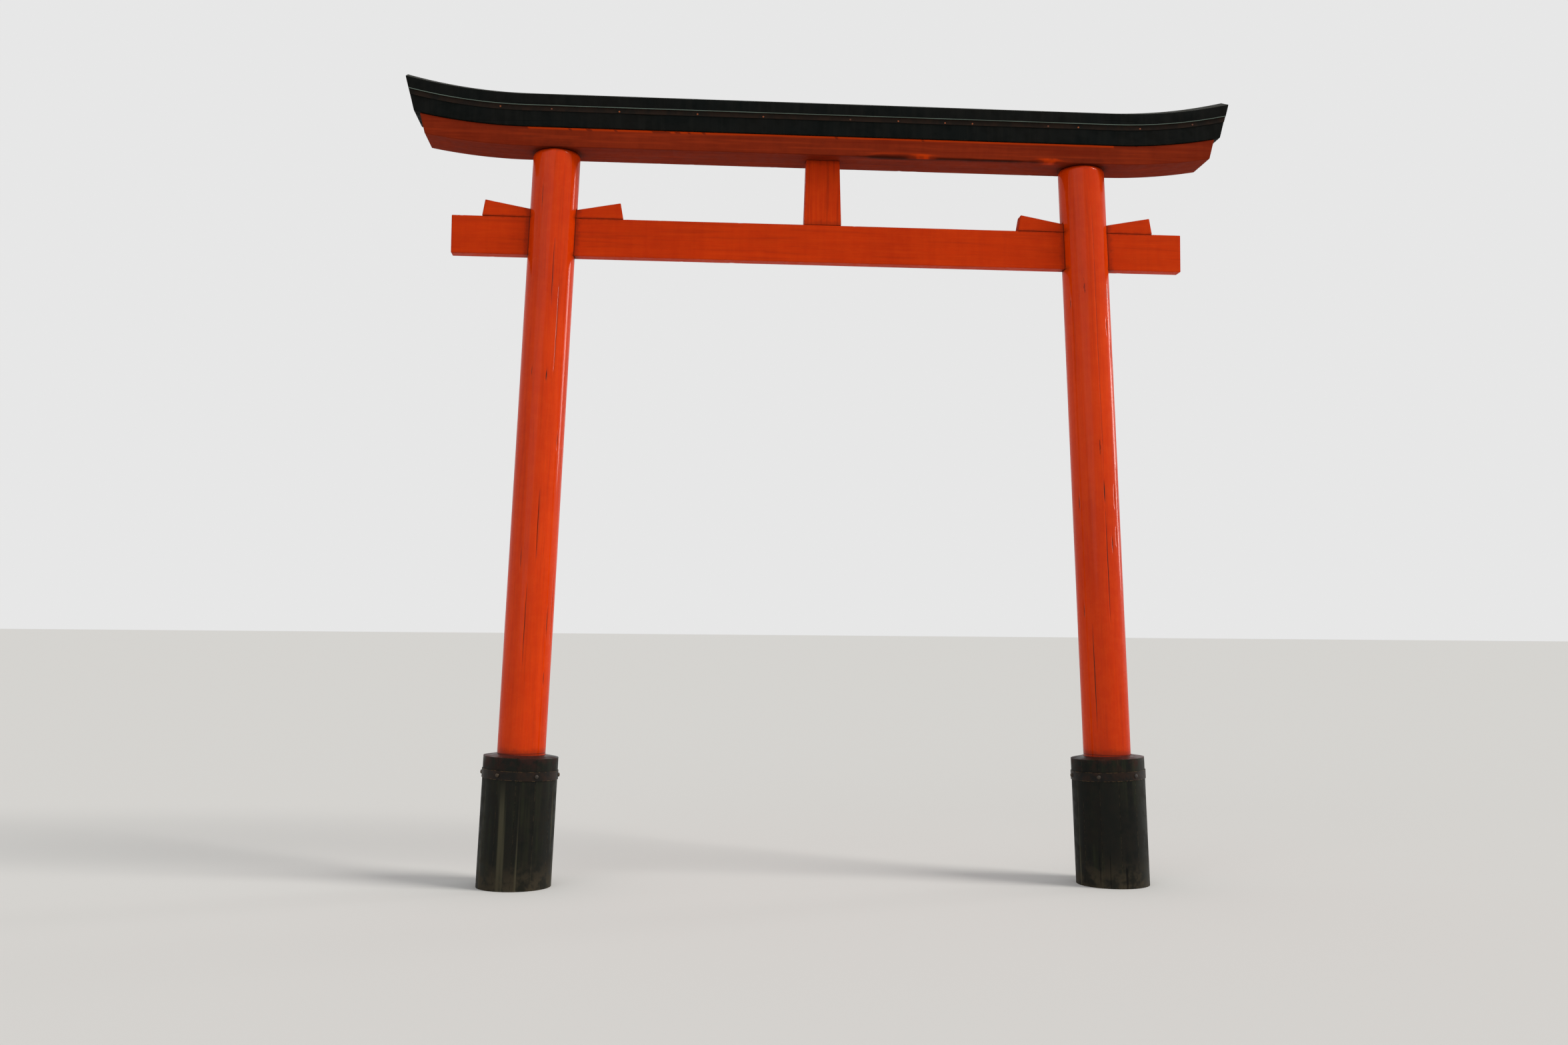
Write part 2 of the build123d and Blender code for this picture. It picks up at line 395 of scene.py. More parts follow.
def surface(material, colour, roughness, height=None, relief=0.001, specular=None, metallic=None):
    """Fills the shader's sockets, with the height in metres as relief."""
    tree = material.node_tree
    inputs = tree.nodes["Principled BSDF"].inputs
    for name, value in (("Base Color", colour), ("Roughness", roughness), ("Metallic", metallic),
                        ("Specular IOR Level", specular)):
        connect(tree, inputs[name], value)
    if height is not None:
        bump = put(tree, "Bump", 1.0, relief)
        connect(tree, bump.socket.node.inputs["Height"], height)
        connect(tree, inputs["Normal"], bump)
    print("material:", material.name)
    return material


# %% [markdown]
# ## Vermilion
# The paint is a strong orange-red, in many coats that hide nearly all of the grain. The posts are glossy,
# with slow streaks down the log and a hard sheen along one side. The beams have the same paint, flatter,
# and their cut ends drink more of it and go dark. Where a crack opens, bare grey-brown wood shows: its
# depth is stored in the mesh, and the paint reads it. A second stored value, tint, marks single places:
# above zero they are darker, below zero they carry a painted highlight.

# %% Values for the red timbers
BARE_WOOD = rgb(58, 44, 36)
SOIL = rgb(60, 22, 12)
KNOT_RED = rgb(120, 34, 14)
NICK_RED = rgb(104, 24, 8)
HIGHLIGHT_RED = rgb(206, 62, 8)
ALONG_Z = (1, 1, 0.035)
ALONG_X = (0.035, 1, 1)
BEAM_CHEEK = 0.04
WEDGE_IN_POST = 0.11
beam_low, beam_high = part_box("tie_beam")
wedge_low, wedge_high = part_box("right_outer_wedge")
wedge_reach = wedge_high.x - wedge_low.x - WEDGE_IN_POST
sleeve_top = max(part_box(name)[1].z for name in nodes if name.startswith("left_stave_"))


# %% Where each red timber meets another
def nearest(first, *others):
    """The smallest of some distances."""
    for other in others:
        first = calc("MINIMUM", first, other)
    return first


def from_post(x, y, height):
    """Distance from a post's skin."""
    off_axis = put(x.tree, "CombineXYZ", abs(x) - axis_x(height), y, 0.0)
    return abs(calc_vector("LENGTH", off_axis, take="Value") - post_radius)


def post_joints(x, y, height):
    """Distance on a post to its sleeve, to the lintel and to the tie beam's faces."""
    off_edge = abs(abs(height - (beam_low.z + beam_high.z) / 2) - (beam_high.z - beam_low.z) / 2)
    off_cheek = calc("MAXIMUM", abs(y) - BEAM_CHEEK, 0.0)
    return nearest(abs(height - sleeve_top), abs(height - lintel_underside), off_edge + off_cheek)


def beam_joints(x, y, height):
    """Distance on the tie beam and wedges to a post, and to the seam between wedge and beam."""
    off_post = from_post(x, y, height)
    seam = calc("MAXIMUM", abs(height - beam_high.z), off_post - wedge_reach)
    return nearest(off_post, seam * 3.0)


def lintel_joints(x, y, height):
    """Distance on the lower lintel to the posts' heads, which meet only its underside."""
    return calc("MAXIMUM", from_post(x, y, height), height - lintel_underside)


def strut_joints(x, y, height):
    """Distance on the strut to the beam under it and the lintel over it."""
    return nearest(abs(height - beam_high.z), abs(height - lintel_underside))


# %% Material: vermilion paint
def vermilion(name, coat, deep, pale, stretch, gloss, joints, sheen, darkening, bands, upright=False,
              cracks=0.0, nicks=0.0):
    """Red paint on wood, with the grain along a post or along a beam."""
    material, place, weather = weathered(name, 0.9, upright=upright)
    tree, point = material.node_tree, place.vector
    wood = use(tree, wood_group, vector=point, stretch=stretch, crack_share=cracks, nick_share=nicks)
    distance = joints(*split(put(tree, "TexCoord", take="Object")))
    joint = use(tree, joint_group, vector=point, distance=distance, reach=0.03)
    bare = ramp(put(tree, "Attribute", take="Fac", attribute_name="depth"), 0.0004, 0.0016)
    opened = calc("MAXIMUM", bare, wood.crack * 0.85)
    tint = put(tree, "Attribute", take="Fac", attribute_name="tint")
    facing = calc_vector("MULTIPLY", put(tree, "NewGeometry", take="Normal"), stretch)
    end = ramp(calc_vector("LENGTH", facing, take="Value"), 0.75, 0.4)
    fibres = ramp(wood.grain, 0.35, 0.65, 0.94, 1.04)

    colour = coats(
        coat,
        (weather.patch * 0.55, deep),
        (weather.streak * 0.16, deep),
        (weather.mottle * 0.14, pale),
        (ramp(wood.band, 0.46, 0.33) * bands, NICK_RED),
        (ramp(wood.band, 0.55, 0.68) * bands, pale),
    )
    colour = coats(
        mix(1.0, colour, put(tree, "CombineColor", fibres, fibres, fibres), "MULTIPLY"),
        (wood.knot * 0.4, KNOT_RED),
        (wood.nick * 0.7, NICK_RED),
        (end * 0.45, deep),
        (weather.dust * 0.35, SOIL),
        (joint.soil * darkening, SOIL),
        (joint.line * 0.6, SOIL),
        (weather.worn * 0.5, KNOT_RED),
        # below zero, tint lays on a painted highlight; above zero, a dark line
        (ramp(tint, 0.0, -1.0), HIGHLIGHT_RED),
        (ramp(tint, 0.0, 1.0), SOIL),
        (opened, BARE_WOOD),
    )
    duller = weather.mottle * 0.1 + weather.streak * 0.08 + opened * 0.4 + end * 0.2
    return surface(material, colour, duller + gloss, wood.height, 0.0012, sheen)


post_paint = vermilion("post_vermilion", rgb(216, 60, 2), rgb(186, 43, 2), rgb(227, 78, 10), ALONG_Z,
                       0.2, post_joints, 0.02, darkening=0.35, bands=0.12, upright=True, cracks=0.02,
                       nicks=0.17)
beam_paint = vermilion("beam_vermilion", rgb(200, 53, 2), rgb(172, 40, 2), rgb(214, 68, 8), ALONG_X,
                       0.46, beam_joints, 0.06, darkening=0.4, bands=0.15)
strut_paint = vermilion("strut_vermilion", rgb(204, 55, 3), rgb(175, 42, 2), rgb(216, 70, 8), ALONG_Z,
                        0.46, strut_joints, 0.06, darkening=0.3, bands=0.3)
# The lower lintel's red is darker than the beams': partly weathered paint, partly painted shade from the
# timbers above it.
lintel_paint = vermilion("lintel_red", rgb(129, 41, 18), rgb(104, 31, 13), rgb(154, 52, 22), ALONG_X,
                         0.62, lintel_joints, 0.02, darkening=0.3, bands=0.35, cracks=0.2)
lacquer = post_paint.node_tree.nodes["Principled BSDF"]
lacquer.inputs["Coat Weight"].default_value = 0.22
lacquer.inputs["Coat Roughness"].default_value = 0.07

# %% [markdown]
# ## Black paint
# The upper lintel and the cap are a deep, faintly green black. It is dull by now, and black that mirrors a
# pale room looks grey, so its specular level is low. Dust lies on what faces up, and the grain still shows
# as fine ridges.

# %% Material: black paint on the top timbers
top_black, place, weather = weathered("top_black", 0.35)
wood = use(top_black.node_tree, wood_group, vector=place.vector, stretch=ALONG_X, crack_share=0.35)
colour = coats(
    rgb(9, 13, 12),
    (weather.patch, rgb(16, 16, 14)),
    (weather.streak * 0.3, rgb(26, 26, 23)),
    (weather.dust * 0.5, rgb(66, 65, 55)),
    (weather.worn * 0.6, rgb(70, 60, 48)),
    (wood.crack * 0.8, rgb(5, 5, 4)),
)
surface(top_black, colour, weather.mottle * 0.25 + 0.55, wood.height, 0.0016, 0.05)

# %% [markdown]
# ## Sleeves
# The sleeves take what the rain splashes up. Their paint is green-black like the top's, with brown bloom
# and a thin tan line wherever a stave's arris has rubbed bare, and their tops catch red dust from the post.
# Twelve staves never match, so each gets its own tone from the angle at which it stands round the post.

# %% Material: sleeve staves
STAVE_COUNT = sum(1 for name in nodes if name.startswith("left_stave_"))

sleeve_black, place, weather = weathered("sleeve_black", 0.22, 0.003, upright=True)
tree, point, height = sleeve_black.node_tree, place.vector, place.height
wood = use(tree, wood_group, vector=point, stretch=ALONG_Z, crack_share=0.3, knot_share=0.15)
number = calc("FLOOR", place.around * (STAVE_COUNT / tau))
seed = number + place.side * 31.7
tone = put(tree, "TexWhiteNoise", None, seed, take="Value", noise_dimensions="1D")
thread = cloud(calc_vector("MULTIPLY", point, (1, 1, 0.025)), 30.0, 2.0, 0.5)
drips = ramp(thread, 0.6, 0.74) * ramp(height, 0.5, 0.3)
wash = ramp(height, sleeve_top - 0.09, sleeve_top) * weather.mottle
top_dust = ramp(height, sleeve_top - 0.014, sleeve_top - 0.006)
splash = ramp(height, 0.15, 0.0) * ramp(weather.mottle, -0.4, 1.1)
colour = coats(
    rgb(15, 17, 15),
    (tone, rgb(24, 25, 21)),
    (weather.patch * (weather.streak * 0.7), rgb(38, 41, 27)),
    (weather.mottle * 0.25, rgb(42, 36, 31)),
    (drips * 0.45, rgb(92, 88, 68)),
    (wash * 0.55, rgb(62, 30, 26)),
    (top_dust * 0.8, rgb(74, 36, 31)),
    (weather.worn * 0.4, rgb(96, 84, 64)),
    (splash * 0.6, rgb(70, 62, 48)),
    (wood.crack * 0.8, rgb(6, 6, 5)),
)
roughness = ramp(height, sleeve_top - 0.03, sleeve_top - 0.008, 0.48, 0.3) + weather.mottle * 0.2
surface(sleeve_black, colour, roughness, wood.height, 0.0014, 0.08)

# %% [markdown]
# ## Metal
# The flashing is thin brown-black painted sheet; its pale grey-green lip is weathered metal and a painted
# highlight.
# The black iron hoops have tan edges: partly rubbed bare, partly painted highlight. Nails are copper and
# bolts are steel.

# %% Materials: sheet metal, hoops, nails and bolts
LIP_START = 0.006
PALE_OVER = 0.002
sheet_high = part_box("upper_lintel")[1]

flashing_metal, place, weather = weathered("flashing_sheet", 0.3, 0.002)
outward = abs(split(place.vector)[1])
lip = sheet_high.y + LIP_START
pale_lip_share = ramp(weather.patch, -0.6, 1.0, 0.5, 1.0)
colour = coats(
    rgb(32, 24, 19),
    (weather.patch, rgb(23, 22, 19)),
    (weather.mottle * 0.45, rgb(50, 34, 25)),
    # pale lip line: weathered metal and a painted highlight along the drip edge
    (ramp(outward, lip, lip + PALE_OVER) * pale_lip_share, rgb(106, 120, 111)),
)
surface(flashing_metal, colour, 0.5, weather.mottle, 0.0003, 0.06)

hoop_metal, place, weather = weathered("hoop_iron", 0.12, 0.0025, upright=True)
colour = coats(
    rgb(17, 17, 15),
    (weather.patch, rgb(28, 24, 20)),
    (weather.mottle * 0.35, rgb(58, 36, 24)),
    # tan edge line: rubbed-bare iron and a painted highlight where the edges catch light
    (ramp(weather.worn, 0.0, 0.4, 0.0, 0.85), rgb(132, 104, 70)),
)
surface(hoop_metal, colour, 0.48, weather.mottle, 0.0004, 0.12)


def metal(name, bare, tarnish, rough, amount):
    """Metal with a duller film on it in places."""
    material, place, weather = weathered(name, 0.05, 0.001)
    film = weather.mottle * amount
    return surface(material, mix(film, bare, tarnish), film * 0.25 + rough, weather.mottle, 0.0002,
                   metallic=1.0 - film)


nail_copper = metal("nail_copper", rgb(150, 84, 54), rgb(58, 38, 30), 0.42, 0.85)
bolt_steel = metal("bolt_steel", rgb(74, 64, 54), rgb(30, 25, 21), 0.4, 0.9)

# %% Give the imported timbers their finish
FINISHES = {
    "post_paint": post_paint, "beam_paint": beam_paint, "lintel_paint": lintel_paint,
    "black_paint": top_black, "sleeve_paint": sleeve_black, "flashing": flashing_metal,
    "hoop_iron": hoop_metal,
}
slot_of = {part["node"]: part["material_slot"] for part in frame["record"]["subparts"]}
for name, timber in nodes.items():
    timber.data.materials.clear()
    timber.data.materials.append(strut_paint if name == "centre_strut" else FINISHES[slot_of[name]])
print("finished:", len(nodes))

# %% [markdown]
# ## Softer arrises on the sleeves
# The staves, hoops and sheets have the right shape already, and only the arrises of staves and hoops are
# too sharp to catch light. A Bevel modifier rounds every edge that turns by more than 25 degrees.

# %% Round the arrises of staves and hoops
ROUNDINGS = {"_stave_": 0.0022, "_hoop": 0.0008}
for name, timber in nodes.items():
    for part, width in ROUNDINGS.items():
        if part in name:
            rounding = timber.modifiers.new("arris", "BEVEL")
            rounding.width = width
            rounding.segments = 3
            rounding.limit_method = "ANGLE"
            rounding.angle_limit = radians(25)
print("rounded:", sum(1 for timber in nodes.values() if timber.modifiers))

# %% [markdown]
# ## From points to a piece
# Every piece made here starts as rings of points. A skin through them gives a closed mesh, which is shaded
# smooth except over sharp arrises, gets its material, and rides with the gate. A piece that stands for a
# packed timber takes that timber's finish.

# %% Helpers: a skin through rings, and a finished piece
SHARP_ABOVE = radians(35)
PIECE_NAMES = {"centre_strut": "strut_timber", "left_post": "left_log", "right_post": "right_log"}


def ripple(*place):
    """Smooth noise at a place, from about -1 to 1."""
    return noise.noise(Vector(place))


def join_rings(mesh, rings):
    """Adds faces between rings of points, and closes the first. Gives the rings' vertices."""
    loops = [[mesh.verts.new(point) for point in ring] for ring in rings]
    for low, high in zip(loops, loops[1:]):
        for k in range(len(low)):
            after = (k + 1) % len(low)
            mesh.faces.new((low[k], low[after], high[after], high[k]))
    mesh.faces.new(reversed(loops[0]))
    return loops


def skin(rings):
    """A closed bmesh through rings."""
    mesh = bmesh.new()
    loops = join_rings(mesh, rings)
    mesh.faces.new(loops[-1])
    bmesh.ops.recalc_face_normals(mesh, faces=mesh.faces)
    return mesh


def shade(data):
    """Shades a mesh smooth, except over sharp arrises."""
    data.shade_smooth()
    data.set_sharp_from_angle(angle=SHARP_ABOVE)


def finish_piece(name, mesh, material, stands_for=()):
    """Turns a bmesh into a piece that rides with the gate, in place of these nodes."""
    data = bpy.data.meshes.new(name)
    mesh.to_mesh(data)
    mesh.free()
    data.materials.append(material)
    shade(data)
    piece = new_object(name, data)
    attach(piece, "root")
    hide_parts(*stands_for)
    print(name, len(data.polygons), "faces")
    return piece


def finish_timber(node, mesh):
    """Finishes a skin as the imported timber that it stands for."""
    name = PIECE_NAMES.get(node, node + "_timber")
    return finish_piece(name, mesh, nodes[node].data.materials[0], [node])


# %% [markdown]
# ## Squared timbers, with the marks of use
# A planed beam isn't a perfect box. Its faces wave by less than a millimetre, its arrises are rounded by
# hand and knocked here and there, and weather has eaten some. Painted on a box, that would leave its
# outline too straight, so each squared timber is built again as a dense skin: a section is carried along
# it, and at each station its corners get their own radius. An end is the plane, at a known slant, that just
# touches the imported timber, so the skin stays inside that timber's box.

# %% Helper: a section with rounded corners
CORNER_STEPS = 5


def rounded(corners, radii, steps):
    """Points round a polygon with rounded corners, each with its outward direction."""
    arcs, count = [], len(corners)
    for k, corner in enumerate(corners):
        before = corner - corners[k - 1]
        after = corners[(k + 1) % count] - corner
        first = Vector((before.y, -before.x)).normalized()
        last = Vector((after.y, -after.x)).normalized()
        centre = corner - (first + last) * (radii[k] / (1 + first.dot(last)))
        arc = []
        for step in range(CORNER_STEPS + 1):
            out = (first * (CORNER_STEPS - step) + last * step).normalized()
            arc.append((centre + out * radii[k], out))
        arcs.append(arc)
    points = []
    for k, arc in enumerate(arcs):
        points += arc
        here, there = arc[-1], arcs[(k + 1) % count][0]
        for step in range(1, steps[k]):
            share = 0.5 - 0.5 * cos(pi * step / steps[k])
            points.append((here[0].lerp(there[0], share), here[1]))
    return points


# %% Helpers: where a timber ends, and how its arrises are worn
STATION = 0.011
FACE_STEP = 0.022
FACE_WAVE = 0.0007
END_ARRIS = 0.003
KNOCK_DEPTH = 0.014
KNOCKED_OVER = 0.38
HALVINGS = 30
BEYOND_END = 1.3


def support(node, direction):
    """How far a packed timber reaches in a direction."""
    return max(v.co.dot(direction) for v in nodes[node].data.vertices)


def end_planes(node, *directions):
    """The planes that cut off a timber's ends, each as its direction and its reach."""
    return [(direction, support(node, direction)) for direction in directions]


def meet(place, point, plane, near, far):
    """How far along the timber a line of its surface meets an end plane."""
    normal, reach = plane
    for _ in range(HALVINGS):
        middle = (near + far) / 2
        if place(middle, point.x, point.y).dot(normal) < reach:
            near = middle
        else:
            far = middle
    return (near + far) / 2


def knocked(along, corner, seed, arris):
    """Radius of an arris at a place: its own, with slow changes and a few knocks."""
    slow = ripple(along * 2.3, corner * 9.1, seed)
    quick = ripple(along * 13.0, corner * 5.7, seed + 3)
    knock = max(0.0, ripple(along * 31.0, corner * 3.3, seed + 8) - KNOCKED_OVER)
    return arris * (1 + 0.45 * slow + 0.25 * quick) + KNOCK_DEPTH * knock


def stations(span):
    """Shares along a timber from 0 to 1, and how far in its skin is tucked at the ends."""
    count = round(2 * span / STATION)
    trim = END_ARRIS / (2 * span)
    tucked = [(0.0, 1.0), (trim * 0.3, 0.3), (trim, 0.0)]
    level = [(k / count, 0.0) for k in range(1, count)]
    return tucked + level + [(1 - share, tuck) for share, tuck in reversed(tucked)]


# %% Helper: a worn timber
def worn_timber(node, section, place, ends, reach, arris, seed, wane=None):
    """A squared timber: its section's corners, carried along by place between two end planes."""
    middle, span = (reach[0] + reach[1]) / 2, (reach[1] - reach[0]) / 2
    sides = [(section[(k + 1) % len(section)] - corner).length for k, corner in enumerate(section)]
    steps = [max(2, round(side / FACE_STEP)) for side in sides]
    rings, reaches = [], None
    for share, tuck in stations(span):
        along = middle + (2 * share - 1) * span
        radii = [knocked(along, k, seed, arris) for k in range(len(section))]
        if wane:
            radii = [radius + wane(along, k) for k, radius in enumerate(radii)]
        points = []
        for point, out in rounded(section, radii, steps):
            wave = ripple(along * 1.9, point.x * 11 + seed, point.y * 11)
            points.append(point - out * (END_ARRIS * tuck + FACE_WAVE * (0.5 + 0.5 * wave)))
        if reaches is None or min(share, 1 - share) * span < END_ARRIS:
            reaches = [[meet(place, point, plane, middle, middle + out * BEYOND_END * span)
                        for plane, out in zip(ends, (-1, 1))] for point in points]
        rings.append([place(low + (high - low) * share, point.x, point.y)
                      for point, (low, high) in zip(points, reaches)])
    return finish_timber(node, skin(rings))


# %% [markdown]
# ## The tie beam, its wedges and the strut
# These are straight, so along, across and up are plain axes. A wedge's section shrinks towards its tip,
# and the strut stands, so for it along is up and its width changes with height. Both are made from one
# section by letting `place` stretch it.

# %% Build the straight timbers
BEAM_ARRIS = 0.003
WEDGE_TAPER = radians(10.5)
WEDGE_END_SLANT = radians(10)
STRUT_SIDE_OVER = 0.8


def box_section(half, low, high):
    """Four corners of a section, from its half width and two heights."""
    return [Vector((-half, low)), Vector((half, low)), Vector((half, high)), Vector((-half, high))]


def build_tie_beam():
    """The long beam through both posts."""
    section = box_section(beam_high.y, beam_low.z, beam_high.z)
    ends = end_planes("tie_beam", Vector((-1, 0, 0)), Vector((1, 0, 0)))
    worn_timber("tie_beam", section, lambda x, y, z: Vector((x, y, z)), ends,
                (beam_low.x, beam_high.x), BEAM_ARRIS, 11)


def build_wedge(node, out, seed):
    """A wedge whose thick end points to out along X."""
    low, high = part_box(node)
    slope = Vector((-out * sin(WEDGE_TAPER), 0, cos(WEDGE_TAPER)))
    top = support(node, slope)
    thick = high.z - low.z

    def place(x, y, z):
        return Vector((x, y, low.z + z * ((top - slope.x * x) / slope.z - low.z) / thick))

    thick_end = Vector((out * cos(WEDGE_END_SLANT), 0, sin(WEDGE_END_SLANT)))
    ends = end_planes(node, Vector((-out, 0, 0)), thick_end)[::out]
    worn_timber(node, box_section(high.y, 0, thick), place, ends, (low.x, high.x), BEAM_ARRIS, seed)


def build_strut():
    """The short post in the middle, wider at its foot."""
    foot, head = beam_high.z + FIT_GAP, lintel_underside - FIT_GAP
    face, wide = beam_high.y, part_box("centre_strut")[1].x
    side = [v.co for v in nodes["centre_strut"].data.vertices if v.co.x > wide * STRUT_SIDE_OVER]
    low, high = min(side, key=lambda c: c.z), max(side, key=lambda c: c.z)
    slope = (high.x - low.x) / (high.z - low.z)

    def place(z, x, y):
        return Vector((x * (1 + slope * (z - foot) / wide), y, z))

    ends = [(Vector((0, 0, -1)), -foot), (Vector((0, 0, 1)), head)]
    worn_timber("centre_strut", box_section(wide, -face, face), place, ends, (foot, head), BEAM_ARRIS, 23)


build_tie_beam()
build_strut()
for side_name, side in SIDES.items():
    build_wedge(side_name + "_inner_wedge", -side, 31 + side)
    build_wedge(side_name + "_outer_wedge", side, 41 + side)

# %% [markdown]
# ## The two lintels and the cap
# All three are level between the posts and sweep up on arcs round one shared centre, so one formula bends
# them all: past the start of the upturn, a point swings round that centre. Start and centre are read from
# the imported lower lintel, whose front arris has lost wood over a metre or so, in shallow scallops.

# %% Read the sweep of the lintels
LINTEL_END_SLANT = radians(14)
LEVEL_WITHIN = 0.0001
UNDERSIDE_SURE = 0.3


def radius_through(place):
    """Radius of the arc that leaves the level underside and passes through a point of it."""
    past, rise = abs(place.x) - upturn_start, place.z - lintel_underside
    return (past ** 2 + rise ** 2) / (2 * rise)


under = [v.co for v in nodes["lower_lintel"].data.vertices]
upturn_start = max(abs(c.x) for c in under if c.z < lintel_underside + LEVEL_WITHIN)
upturn_radius = max(radius_through(c) for c in under if abs(c.x) > upturn_start + UNDERSIDE_SURE)
upturn_centre = lintel_underside + upturn_radius
print(f"upturn starts at {upturn_start:.3f} m, on a radius of {upturn_radius:.3f} m")


def swept(along, y, height):
    """Where a point of a lintel lies, from how far along it is and how high in its level part."""
    past = abs(along) - upturn_start
    if past <= 0:
        return Vector((along, y, height))
    radius = upturn_centre - height
    turn = past / upturn_radius
    x = copysign(upturn_start + radius * sin(turn), along)
    return Vector((x, y, upturn_centre - radius * cos(turn)))


def level_height(node):
    """Top of the level part of a lintel."""
    return max(v.co.z for v in nodes[node].data.vertices if abs(v.co.x) < upturn_start + NEARLY)


# %% Build the lintels and the cap
LINTEL_ARRIS = 0.0035
CAP_FACE = 0.048
WANE_FROM, WANE_TO, WANE_DEPTH = 0.14, 1.10, 0.009
BITES = [(0.31, 0.10, 0.013), (0.47, 0.06, 0.006), (0.62, 0.09, 0.004), (1.01, 0.07, 0.008)]
FRONT_LOWER_CORNER = 0


def lost_wood(along, corner):
    """Extra rounding of the lower lintel's front arris: a ragged run, and a few deeper bites."""
    if corner != FRONT_LOWER_CORNER or not WANE_FROM < along < WANE_TO:
        return 0.0
    share = (along - WANE_FROM) / (WANE_TO - WANE_FROM)
    scallops = 0.6 + 0.4 * ripple(along * 8.0, 4.2, 0.7)
    fine = 0.15 * ripple(along * 31.0, 1.1, 2.3)
    run = WANE_DEPTH * sin(pi * share) ** 0.4 * (scallops + fine)
    return run + sum(deep * exp(-((along - middle) / half) ** 4) for middle, half, deep in BITES)


def build_lintel(node, seed, wane=None, face=None):
    """A timber with upswept ends, and with a ridge over its face if that has a height of its own."""
    low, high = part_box(node)
    top = level_height(node)
    section = box_section(high.y, low.z, low.z + face if face else top)
    if face:
        section.insert(3, Vector((0, top)))
    left, right = (Vector((side * cos(LINTEL_END_SLANT), 0, -sin(LINTEL_END_SLANT)))
                   for side in SIDES.values())
    ends = end_planes(node, left, right)
    return worn_timber(node, section, swept, ends, (low.x, high.x), LINTEL_ARRIS, seed, wane)


lower_lintel = build_lintel("lower_lintel", 51, wane=lost_wood)
build_lintel("upper_lintel", 59)
build_lintel("cap", 67, face=CAP_FACE)

# %% [markdown]
# ## Marks on the lower lintel
# A dark line runs along the lower half of the lost wood. Painted highlights lie on it in two places, and on
# the top of the lost wood at the left, where it catches light; a thin painted highlight runs along the top
# of the face, under the black lintel. The skin's points lie in columns: 0 to 5 go round the front arris
# from the top, and the next ones lie behind it on the underside. So the marks are written as the stored
# value tint, column by column.

# %% Mark the lost wood and the bright line
DARKENED_TO = 1.10
LIP_DARK = {2: 0.55, 3: 0.85, 4: 0.95, 5: 0.95, 6: 0.8, 7: 0.3}
HIGHLIGHT_PATCHES = [(0.440, 0.060, 5), (1.020, 0.060, 7)]
LOST_IN_FULL = 0.010
TOP_HIGHLIGHT_TO, TOP_HIGHLIGHT_COLUMNS, TOP_HIGHLIGHT = 0.50, 2, 0.28
HIGHLIGHT_LINE = 0.0045
HIGHLIGHT_TINT = -0.8
FACE_WITHIN = 0.003


def wane_tint(x, z, column):
    """Tint near the lost wood: a dark line, less under a painted highlight, and a painted highlight on top
    at the left.
    """
    # painted highlights where the scalloped lost wood catches light
    highlight = max(exp(-((x - middle) / half) ** 2) for middle, half, last in HIGHLIGHT_PATCHES if column <= last)
    highlight *= 0.75 + 0.5 * ripple(x * 40.0, z * 90.0, 1.3)
    lost = lost_wood(x, FRONT_LOWER_CORNER) / LOST_IN_FULL
    # how dark the line along the lost wood is
    darkening = min(1.0, 0.3 + 0.35 * ripple(x * 6.0, 2.2, 5.1) + lost)
    # a painted highlight on the top columns of the lost wood, at the left
    top_highlight = TOP_HIGHLIGHT * min(1.0, lost) if column < TOP_HIGHLIGHT_COLUMNS and x < TOP_HIGHLIGHT_TO else 0.0
    return LIP_DARK.get(column, 0.0) * darkening * (1 - highlight) - max(0.85 * highlight, top_highlight)


def mark_lintel(piece):
    """Writes the tint of the lower lintel's points."""
    tint = piece.data.attributes.new("tint", "FLOAT", "POINT")
    low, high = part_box("lower_lintel")
    top = level_height("lower_lintel")
    ring = len(piece.data.vertices) // len(stations((high.x - low.x) / 2))
    for k, (vertex, mark) in enumerate(zip(piece.data.vertices, tint.data)):
        x, y, z = vertex.co
        if abs(x) < DARKENED_TO and k % ring <= max(LIP_DARK):
            mark.value = wane_tint(x, z, k % ring)
        # a painted highlight along the top of the face, where the arris catches light under the black
        # lintel
        if abs(y) > high.y - FACE_WITHIN and top - HIGHLIGHT_LINE < z < top and abs(x) < upturn_start:
            mark.value = HIGHLIGHT_TINT
    print("tinted points:", sum(1 for mark in tint.data if mark.value))


mark_lintel(lower_lintel)

# %% [markdown]
# ## The posts, as logs
# A log that has dried splits along its grain, so a post carries long hairlines and short lens-shaped
# cracks with bare grey wood in them. Each is a groove between two lips in the skin, and their lanes wander
# a little as grain does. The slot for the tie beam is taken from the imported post: what both shapes share
# is kept.

# %% Plan the cracks
SEEN_CRACKS = {
    "right": [(-127.5, 0.68, 1.15, 0.0020, 0.005), (-83.0, 1.15, 1.66, 0.0018, 0.005),
              (-83.0, 1.68, 1.79, 0.0026, 0.005), (-83.0, 1.80, 3.04, 0.0008, 0.002),
              (-67.5, 1.46, 1.54, 0.0024, 0.004)],
    "left": [(-62.0, 2.20, 2.62, 0.0012, 0.003), (-96.0, 0.95, 1.30, 0.0016, 0.004)],
}
LANES = 11
LANES_APART = 0.2
CRACKS_A_LANE = 3
CRACK_LENGTHS = (0.05, 0.07, 0.1, 0.14, 0.3)
CRACKED_TO = 3.1


